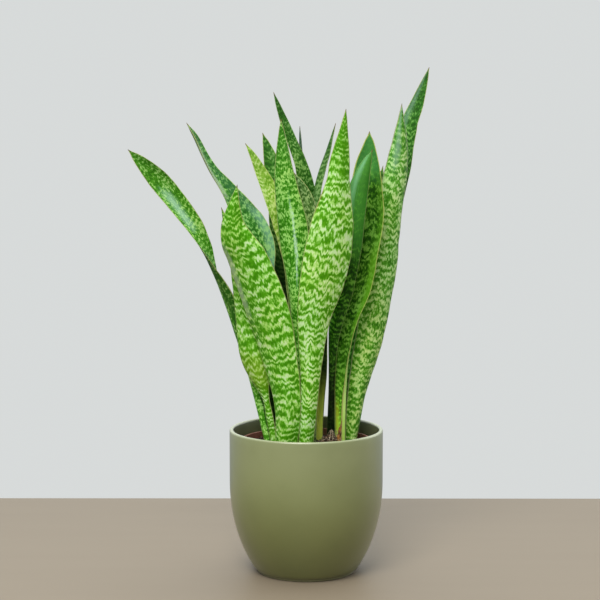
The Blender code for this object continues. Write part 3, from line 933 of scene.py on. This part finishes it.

# %% [markdown]
# ## The seventeen leaves
# Leaves in the light at the front are pale with bold zigzags. The ones behind are given darker colours,
# partly as painted shade, and one in the middle has gone yellow-green. Each leaf takes its own skin, with
# its own colours, marks and part of the noise, so no two look the same. Low is a tint below a height:
# mostly painted shade that deepens a shaded foot or painted light that lightens it, and on the right
# tall leaf a yellowing.

# %% Looks of the leaves
MINT = (0.410, 0.780, 0.180)
WHITE_GREEN = (0.740, 0.920, 0.620)
LIME = (0.095, 0.360, 0.004)
DEEP = (0.045, 0.230, 0.002)
# Painted shade: a dark tint for the shaded lower parts of the leaves behind.
PAINTED_SHADE_TINT = (0.15, 0.17, 0.12)
BELOW = (100.0, 110.0)  # two heights under the soil: a mark that starts there has no lower end
LEAF_LOOKS = {
    "leaf_front_left": dict(
        pale=(0.38, 0.77, 0.15), green=(0.080, 0.350, 0.003), dark=DEEP, share=0.06, calm=0.3,
        dusk=0.1, palest=WHITE_GREEN,
        veils=(("both", -0.62, -0.80, (0.36, 0.52, 0.28), 0.80, 262.0, 290.0, 335.0, 350.0),),
    ),
    "leaf_front_centre": dict(
        pale=MINT, green=LIME, dark=DEEP, share=-0.18, zigzag=1.5,
        veils=(("both", -0.90, -1.0, (0.20, 0.07, 0.03), 0.8, 376.0, 386.0, 396.0, 406.0),),
        palest=WHITE_GREEN, calm=0.8, dusk=0.3,
    ),
    "leaf_left_low": dict(
        pale=(0.37, 0.73, 0.14), green=LIME, dark=DEEP, share=0.05, palest=WHITE_GREEN,
        zones=(((0.30, 0.38, 0.02), 0.28, 190.0, 203.0, 215.0, 245.0),),
        # Painted light: the foot, which lies in shade, is lightened.
        low=((1.12, 1.12, 1.2), 170.0, 205.0),
    ),
    "leaf_front_right": dict(
        pale=(0.20, 0.46, 0.06), green=(0.040, 0.170, 0.004), dark=(0.006, 0.045, 0.001), share=0.35,
        fleck=0.35, edge=(0.55, 0.60, 0.16), edge_mm=1.2,
        veils=(
            # Painted light: the right inner flank, which faces the lamp, is laid brighter green.
            ("inner", 0.25, 0.62, (0.19, 0.54, 0.020), 0.50, 235.0, 262.0, 320.0, 352.0),
            ("inner", 0.45, 0.85, (0.14, 0.40, 0.020), 0.35, 320.0, 345.0, 400.0, 430.0),
            ("inner", -0.40, -0.75, (0.42, 0.45, 0.03), 0.8, *BELOW, 158.0, 190.0),
            ("outer", 1.4, 1.2, (0.52, 0.74, 0.25), 0.78, *BELOW, 330.0, 370.0),
            ("outer", 1.4, 1.2, (0.20, 0.42, 0.10), 0.4, 320.0, 370.0, 480.0, 500.0),
        ),
        zones=(
            # Painted light: these two zones lighten the foot, which lies in shade.
            ((0.17, 0.58, 0.02), 0.12, *BELOW, 205.0, 250.0),
            ((0.50, 0.85, 0.07), 0.50, *BELOW, 150.0, 176.0),
            # The top's smooth green is the leaf's own colour with a painted bluish sheen in it.
            ((0.080, 0.33, 0.070), 0.70, 398.0, 425.0, 480.0, 490.0),
        ),
        # Painted light: the foot in shade is lightened.
        low=((2.1, 2.0, 1.6), 165.0, 225.0),
    ),
    "leaf_right_inner": dict(
        pale=(0.15, 0.40, 0.04), green=(0.030, 0.14, 0.003), dark=(0.004, 0.035, 0.001), share=0.75,
        fleck=0.3, edge=(0.22, 0.36, 0.10), edge_mm=0.4, wax=0.42, shine=0.16,
        # The smooth top is the leaf's own green with a painted bluish sheen in it.
        zones=(((0.095, 0.38, 0.050), 0.62, 318.0, 356.0, 470.0, 480.0),),
        sheens=(
            # Painted sheen: a bluish band on the left, where the face catches the light.
            (-0.35, 0.50, (0.27, 0.60, 0.32), 0.65, 335.0, 365.0, 425.0, 440.0),
            # Painted shade: the right side, turned away from the light, is darker.
            (0.95, 0.60, (0.030, 0.170, 0.012), 0.75, 318.0, 350.0, 425.0, 440.0),
        ),
        dusk=0.2,
        # Painted shade: the foot stands in the shadow of the leaves in front.
        low=((0.08, 0.08, 0.07), 180.0, 260.0),
    ),
    "leaf_right_tall": dict(
        pale=(0.47, 0.75, 0.27), green=(0.098, 0.36, 0.020), dark=(0.030, 0.16, 0.006), share=0.10,
        fleck=0.30,
        # Painted sheen: a bluish band high on the left side.
        sheens=((-0.35, 0.50, (0.30, 0.48, 0.34), 0.55, 405.0, 440.0, 480.0, 500.0),),
        edge=(0.36, 0.40, 0.22), edge_mm=0.9, palest=(0.64, 0.86, 0.45),
        low=((1.02, 1.0, 0.80), 235.0, 340.0),
    ),
    "leaf_centre_long": dict(
        pale=(0.36, 0.68, 0.17), green=(0.055, 0.27, 0.008), dark=(0.022, 0.13, 0.004), share=0.16,
        fleck=0.6, calm=0.4,
        # Painted highlight along the keel.
        ridges=((0.16, 0.13, (0.60, 0.82, 0.62), 0.85, 292.0, 318.0, 362.0, 400.0),),
    ),
    "leaf_far_left_long": dict(
        pale=(0.36, 0.66, 0.18), green=(0.075, 0.31, 0.012), dark=(0.028, 0.15, 0.005), share=0.45,
        fleck=0.7, calm=0.3, dusk=0.5,
        veils=(
            # Painted shade: the first tint darkens the face in the plant's shadow, the second the shadow gap
            # beside the foot.
            ("both", 0.0, 0.25, (0.020, 0.110, 0.006), 0.9, 235.0, 262.0, 318.0, 345.0),
            ("both", 0.55, 0.80, (0.010, 0.050, 0.006), 0.9, *BELOW, 185.0, 200.0),
        ),
        # Painted light: the foot, which lies in shade, is lightened.
        low=((1.55, 1.55, 1.6), 180.0, 225.0),
        # Painted sheen: a bluish-white band across the middle.
        sheens=((0.25, 0.60, (0.42, 0.68, 0.50), 0.60, 352.0, 368.0, 390.0, 404.0),),
    ),
    "leaf_centre_yellow": dict(
        pale=(0.53, 0.70, 0.24), green=(0.25, 0.46, 0.05), dark=(0.10, 0.27, 0.01), share=0.1,
        fleck=0.4,
        # Painted shade: the lower part, behind the leaves in front, is darker.
        low=((0.35, 0.40, 0.30), 275.0, 345.0),
    ),
    "leaf_back_centre_tall": dict(
        pale=(0.20, 0.39, 0.105), green=(0.036, 0.16, 0.011), dark=(0.013, 0.07, 0.003), share=0.4,
        fleck=0.5, edge=(0.26, 0.36, 0.16), edge_mm=0.5, dusk=0.75,
        # Painted shade: the lower part, behind the leaves in front, is darker.
        low=((0.35, 0.45, 0.35), 375.0, 430.0),
    ),
    "leaf_back_left_small": dict(
        pale=(0.25, 0.48, 0.13), green=(0.055, 0.22, 0.02), dark=(0.02, 0.10, 0.01), share=0.3,
        # Low here is painted shade on the lower leaf.
        fleck=0.3, low=(PAINTED_SHADE_TINT, 300.0, 400.0),
    ),
    "leaf_back_thin": dict(
        pale=(0.11, 0.18, 0.11), green=(0.05, 0.11, 0.06), dark=(0.02, 0.05, 0.03), share=0.3,
        fleck=0.4, edge=(0.09, 0.14, 0.09), edge_mm=0.4,
    ),
    "leaf_back_leaning_thin": dict(
        pale=(0.19, 0.34, 0.11), green=(0.055, 0.16, 0.025), dark=(0.02, 0.08, 0.01), share=0.4,
        # Low here is painted shade on the middle of the leaf.
        fleck=0.4, edge=(0.20, 0.27, 0.12), edge_mm=0.5, low=(PAINTED_SHADE_TINT, 270.0, 330.0),
        # The stem's own olive-yellow, pushed brighter as painted light because the stem lies in shade.
        zones=(((0.92, 1.0, 0.15), 1.0, *BELOW, 145.0, 212.0),),
    ),
    "leaf_centre_short": dict(
        pale=(0.34, 0.50, 0.20), green=(0.07, 0.18, 0.03), dark=(0.03, 0.08, 0.01), fleck=0.5, calm=0.2
    ),
    "leaf_back_right_short": dict(
        pale=(0.22, 0.40, 0.13), green=(0.065, 0.20, 0.03), dark=(0.03, 0.10, 0.01), share=0.3, fleck=0.5
    ),
    "leaf_back_right_tallest": dict(
        pale=(0.17, 0.40, 0.09), green=(0.035, 0.17, 0.014), dark=(0.012, 0.07, 0.004), share=0.5,
        fleck=0.5,
        # Painted sheen: a blue-grey band along the left side.
        sheens=((-0.65, 0.45, (0.22, 0.40, 0.26), 0.50, 330.0, 400.0, 520.0, 540.0),),
    ),
    "leaf_left_twisted": dict(
        pale=(0.26, 0.52, 0.15), green=(0.040, 0.20, 0.018), dark=(0.014, 0.09, 0.006), share=0.20,
        fleck=0.5,
        veils=(
            # Painted sheen: a grey-blue band on the right portion.
            ("both", 0.35, 0.75, (0.30, 0.54, 0.42), 0.40, 300.0, 320.0, 370.0, 395.0),
            ("both", -0.05, -0.40, (0.36, 0.48, 0.30), 0.70, 385.0, 398.0, 440.0, 455.0),
            # Painted shade: a dark face in the plant's shadow.
            ("both", -0.05, 0.30, (0.025, 0.12, 0.03), 0.75, 372.0, 388.0, 416.0, 428.0),
        ),
        # Painted shade: the stem stands in the shadow behind the front leaves.
        low=(PAINTED_SHADE_TINT, 200.0, 290.0),
    ),
}

# %% Grow the seventeen leaves
for seed, (node, look) in enumerate(sorted(LEAF_LOOKS.items())):
    leaf = grow_leaf("grown_" + node, leaf_lines[node], seed + 1)
    slot = next(p["material_slot"] for p in frame["record"]["subparts"] if p["node"] == node)
    hand_over(leaf, leaf_skin(node + "_skin", **look), slot, node)

# %% [markdown]
# ## Dried sheath
# At the foot of the front right leaf stands what is left of a small outer leaf: a dried, papery
# sheath, orange-brown with paler ribs. It is grown on its own line from the same blank, with deeper
# ruffles, and then it is crumpled a little all over.

# %% Dried paper


def papery_sheath():
    f = Finish("dried_leaf_paper", roughness=0.75, specular=0.25)
    blade = f.attribute("blade")
    to_edge, _, height = f.parts(f.attribute("rim"))
    ribs = f.cloud(f.stretch(blade, (2.4, 0.05, 1.0)), 1.0, 2.0)
    stains = f.cloud(f.stretch(blade, (0.30, 0.12, 1.0)), 1.0, 3.0, 0.6)
    colour = f.mix(f.ease(stains, 0.35, 0.65), (0.060, 0.018, 0.006), (0.400, 0.170, 0.030))
    colour = f.mix(f.ease(ribs, 0.45, 0.65, 0.0, 0.6), colour, (0.420, 0.260, 0.120))
    colour = f.lay(colour, (0.110, 0.045, 0.018), f.ease(to_edge, 0.2, 1.2, 1.0, 0.0), 0.6)
    colour = f.lay(colour, (0.070, 0.035, 0.018), f.ease(height, 132.0, 142.0, 1.0, 0.0), 0.7)
    f.set("Base Color", colour)
    f.set("Roughness", f.line(stains, 0.3, 0.60))
    f.relief(f.line(ribs, 0.8, f.times(stains, 0.6)), 0.0004, 0.8)
    return f.material

# %% Dried sheath
SHEATH_SEED = 23
CRUMPLE_LAYERS = (3.7, 19.3, 41.9)
CRUMPLE_SIZE = 0.0042
CRUMPLE_REACH = 0.0016


def crumple(piece, size, reach):
    """Moves every corner a little by smooth noise, with one layer of it for each direction."""
    count = len(piece.data.vertices)
    points = np.empty(count * 3)
    piece.data.vertices.foreach_get("co", points)
    points = points.reshape(-1, 3)
    for row in points:
        spot = Vector(row) / size
        row += [noise.noise(spot + Vector((0.0, 0.0, layer))) * reach for layer in CRUMPLE_LAYERS]
    piece.data.vertices.foreach_set("co", points.ravel())
    piece.data.update()


sheath = grow_leaf("dried_sheath", read_leaf("dry_sheath"), SHEATH_SEED, ruffle=1.8)
crumple(sheath, CRUMPLE_SIZE, CRUMPLE_REACH)
hand_over(sheath, papery_sheath(), "dry_leaf", "dry_sheath")
bpy.data.objects.remove(leaf_blank)

# %% [markdown]
# ## Potting soil
# The root ball fills the nursery pot, so its body is turned like the pot. Its top is then broken up:
# a slow noise makes mounds and hollows, a finer one makes clods. It rises towards the leaves on the
# right, with a small heap beside the dried sheath, and lies lower along the pot's wall.

# %% Section of the soil
soil_low, soil_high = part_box("soil")
SOIL_LEVEL = soil_high.z - 0.0014
SOIL_RADIUS = (soil_high.x - soil_low.x) / 2
SOIL_RINGS = 46
SOIL_TURNS = 150
SOIL_BASE = NURSERY_BASE - NURSERY_WALL


def soil_section():
    low = soil_low.z
    points = [(0.0, low), (SOIL_BASE - 0.001, low), (SOIL_BASE, low + 0.001)]
    points += [(SOIL_RADIUS, SOIL_LEVEL - 0.006), (SOIL_RADIUS, SOIL_LEVEL - 0.003)]
    points += [(SOIL_RADIUS * k / SOIL_RINGS, SOIL_LEVEL) for k in range(SOIL_RINGS, -1, -1)]
    return points

# %% Lie of the ground
MOUND = (0.024, -0.004)
HEAP = (0.026, -0.024)


def bulge(x, y, middle, reach_x, reach_y, rise):
    """The height of a smooth round heap at a place."""
    return math.exp(-(((x - middle[0]) / reach_x) ** 2) - ((y - middle[1]) / reach_y) ** 2) * rise


def rough_ground(x, y, size, layer, rise):
    return noise.noise(Vector((x / size, y / size, layer))) * rise


def soil_height(x, y):
    """How far the crumbly surface stands above the level, in metres."""
    out = math.hypot(x, y) / SOIL_RADIUS
    inside = max(0.0, min(1.0, (1.0 - out) / 0.12))
    heaps = bulge(x, y, MOUND, 0.022, 0.030, 0.0050) + bulge(x, y, HEAP, 0.011, 0.011, 0.0115)
    hollows = rough_ground(x, y, 0.021, 3.1, 0.0016)
    clods = rough_ground(x, y, 0.0052, 7.7, 0.0011)
    grit = rough_ground(x, y, 0.0022, 1.3, 0.0006)
    return (heaps + hollows + clods + grit) * inside

# %% Turn the soil
soil = turn_on_wheel("potting_soil", soil_section(), SOIL_TURNS)
for vertex in soil.data.vertices:
    if vertex.co.z > SOIL_LEVEL - 1e-5:
        vertex.co.z += soil_height(vertex.co.x, vertex.co.y)
smooth(soil, 60)

# %% Damp soil


def damp_soil(name, light, dark):
    f = Finish(name, roughness=0.92, specular=0.2)
    where = f.place()
    clods = f.cloud(where, 240.0, 4.0, 0.65)
    damp = f.cloud(where, 45.0, 2.0)
    grit = f.ease(f.cells(where, 620.0), 0.10, 0.22, 1.0, 0.0)
    colour = f.mix(f.ease(clods, 0.35, 0.68), dark, light)
    colour = f.mix(f.ease(damp, 0.40, 0.65, 0.0, 0.5), colour, dark)
    f.set("Base Color", f.lay(colour, (0.210, 0.150, 0.100), grit, 0.35))
    f.set("Roughness", f.line(damp, -0.25, 1.02))
    f.relief(f.line(clods, 0.8, f.times(grit, 0.2)), 0.0012, 0.9)
    return f.material


hand_over(soil, damp_soil("damp_potting_soil", (0.085, 0.055, 0.036), (0.022, 0.014, 0.010)), "soil", "soil")

# %% [markdown]
# ## Crumbs, bark, perlite and root fibres
# What makes soil look like soil is what lies loose on it. One rough crumb is modelled and copied: dark
# clods of several sizes, flat chips of bark, and white grains of perlite. Pale root fibres are short
# bent threads, and about a third of them lie in a tuft on the heap. Each kind is joined into one
# piece, and a seed fixes where every grain falls.

# %% Crumb


def rough_crumb():
    clear_selection()
    bpy.ops.mesh.primitive_uv_sphere_add(segments=8, ring_count=5, radius=1.0)
    crumb = name_new_piece("crumb")
    bpy.ops.object.mode_set(mode="EDIT")
    bpy.ops.mesh.select_all(action="SELECT")
    bpy.ops.transform.vertex_random(offset=0.22, seed=4)
    bpy.ops.object.mode_set(mode="OBJECT")
    return crumb

# %% Strewing
LOOSE_SEED = 17
HEAP_SHARE = 0.24
HEAP_SPREAD = 0.007


def free_spot(rng, bare):
    """A place on the soil, and its height."""
    while True:
        x, y = rng.uniform(-1, 1) * SOIL_RADIUS, rng.uniform(-1, 1) * SOIL_RADIUS
        if math.hypot(x, y) < SOIL_RADIUS - bare:
            return x, y, SOIL_LEVEL + soil_height(x, y)


def join_up(copies, name):
    """Joins copies into one piece, with each one's place, turn and size in its mesh."""
    clear_selection()
    for copy in copies:
        copy.select_set(True)
    bpy.context.view_layer.objects.active = copies[0]
    bpy.ops.object.transform_apply(location=True, rotation=True, scale=True)
    bpy.ops.object.join()
    return name_new_piece(name)


def scatter(name, model, count, sizes, flat, seed, heaped=True):
    """Copies of the model strewn over the soil, some of them on its heap, and joined into one piece."""
    rng = random.Random(seed)
    copies = []
    for _ in range(count):
        x, y, z = free_spot(rng, 0.003)
        if heaped and rng.random() < HEAP_SHARE:
            x, y = rng.gauss(HEAP[0], HEAP_SPREAD), rng.gauss(HEAP[1], HEAP_SPREAD)
            z = SOIL_LEVEL + soil_height(x, y) + rng.uniform(0.0, 0.0015)
        size = rng.uniform(*sizes)
        copy = model.copy()
        copy.data = model.data.copy()
        copy.location = (x, y, z + size * flat * 0.5)
        copy.rotation_euler = (rng.uniform(-0.5, 0.5), rng.uniform(-0.5, 0.5), rng.uniform(0, math.tau))
        stretched = (rng.uniform(0.8, 1.4), rng.uniform(0.6, 1.1), flat * rng.uniform(0.7, 1.2))
        copy.scale = [size * stretch for stretch in stretched]
        bpy.context.scene.collection.objects.link(copy)
        copies.append(copy)
    piece = join_up(copies, name)
    smooth(piece, 40)
    return piece

# %% Bark, perlite and fibre finishes


def bark_chips():
    f = Finish("bark_brown", roughness=0.85, specular=0.25)
    where = f.place()
    bark_grain = f.cloud(f.stretch(where, (900.0, 200.0, 900.0)), 1.0, 2.0)
    patch = f.cloud(where, 90.0, 2.0)
    colour = f.mix(f.ease(patch, 0.4, 0.6), (0.085, 0.042, 0.022), (0.200, 0.115, 0.062))
    colour = f.mix(f.ease(bark_grain, 0.45, 0.7, 0.0, 0.5), colour, (0.035, 0.018, 0.010))
    f.set("Base Color", colour)
    f.set("Roughness", f.line(bark_grain, 0.2, 0.72))
    f.relief(bark_grain, 0.0004, 0.8)
    return f.material


def pale_grains(name, light, dark):
    f = Finish(name, roughness=0.8, specular=0.3)
    where = f.place()
    pits = f.cloud(where, 900.0, 3.0, 0.6)
    stain = f.cloud(where, 130.0, 2.0)
    colour = f.mix(f.ease(pits, 0.35, 0.6), dark, light)
    colour = f.mix(f.ease(stain, 0.5, 0.75, 0.0, 0.5), colour, dark)
    f.set("Base Color", colour)
    f.set("Roughness", f.line(pits, 0.2, 0.70))
    f.relief(pits, 0.0003, 0.8)
    return f.material

# %% Clods, chips and grains
crumb = rough_crumb()
clods = scatter("soil_clods", crumb, 520, (0.0007, 0.0019), 0.8, LOOSE_SEED)
hand_over(clods, damp_soil("loose_clods", (0.105, 0.068, 0.044), (0.028, 0.018, 0.012)), "soil")
chips = scatter("bark_chips", crumb, 110, (0.0014, 0.0030), 0.35, LOOSE_SEED + 1)
hand_over(chips, bark_chips(), "soil")
grains = scatter("perlite_grains", crumb, 60, (0.0006, 0.0013), 0.9, LOOSE_SEED + 2, heaped=False)
hand_over(grains, pale_grains("perlite_white", (0.620, 0.590, 0.520), (0.330, 0.280, 0.220)), "soil")
bpy.data.objects.remove(crumb)

# %% Root fibres
FIBRE_SIDES = 5
FIBRE_STEPS = 10
TUFT = (0.0265, -0.0265)
TUFT_SHARE = 0.36
TUFT_SPREAD = 0.0035


def fibre_thread():
    clear_selection()
    bpy.ops.mesh.primitive_cylinder_add(vertices=FIBRE_SIDES, radius=1.0, depth=1.0, end_fill_type="TRIFAN")
    thread = name_new_piece("fibre")
    cut_upright_edges(thread, FIBRE_STEPS)
    return thread


def lay_thread(copy, place, length, thick, turn, bend, rise):
    """Bends a thread one unit high into a low arch that starts and ends at the place's height."""
    for vertex in copy.data.vertices:
        t = vertex.co.z + 0.5
        angle = turn + bend * (t - 0.5)
        taper = thick * (1.0 - 0.6 * abs(2 * t - 1) ** 3)
        along = Vector((math.cos(angle), math.sin(angle), 0.0)) * (t - 0.5) * length
        side = Vector((-math.sin(angle), math.cos(angle), 0.0)) * vertex.co.x * taper
        up = Vector((0.0, 0.0, 0.0006 + rise * math.sin(math.pi * t) + vertex.co.y * taper))
        vertex.co = Vector(place) + along + side + up


def strew_fibres(thread, count, seed):
    rng = random.Random(seed)
    copies = []
    for _ in range(count):
        x, y, z = free_spot(rng, 0.012)
        length, thick = rng.uniform(0.008, 0.020), rng.uniform(0.00018, 0.00028)
        turn, bend, rise = rng.uniform(0, math.tau), rng.uniform(-2.2, 2.2), rng.uniform(0.001, 0.005)
        if rng.random() < TUFT_SHARE:
            x, y = rng.gauss(TUFT[0], TUFT_SPREAD), rng.gauss(TUFT[1], TUFT_SPREAD)
            z = SOIL_LEVEL + soil_height(x, y) - 0.001
            length, rise = rng.uniform(0.005, 0.011), rng.uniform(0.003, 0.0105)
        copy = thread.copy()
        copy.data = thread.data.copy()
        bpy.context.scene.collection.objects.link(copy)
        lay_thread(copy, (x, y, z), length, thick, turn, bend, rise)
        copies.append(copy)
    piece = join_up(copies, "root_fibres")
    face_outwards(piece)
    bpy.ops.object.shade_smooth()
    return piece


thread = fibre_thread()
fibres = strew_fibres(thread, 70, LOOSE_SEED + 3)
hand_over(fibres, pale_grains("root_fibre_straw", (0.500, 0.410, 0.280), (0.190, 0.130, 0.080)), "soil")
bpy.data.objects.remove(thread)
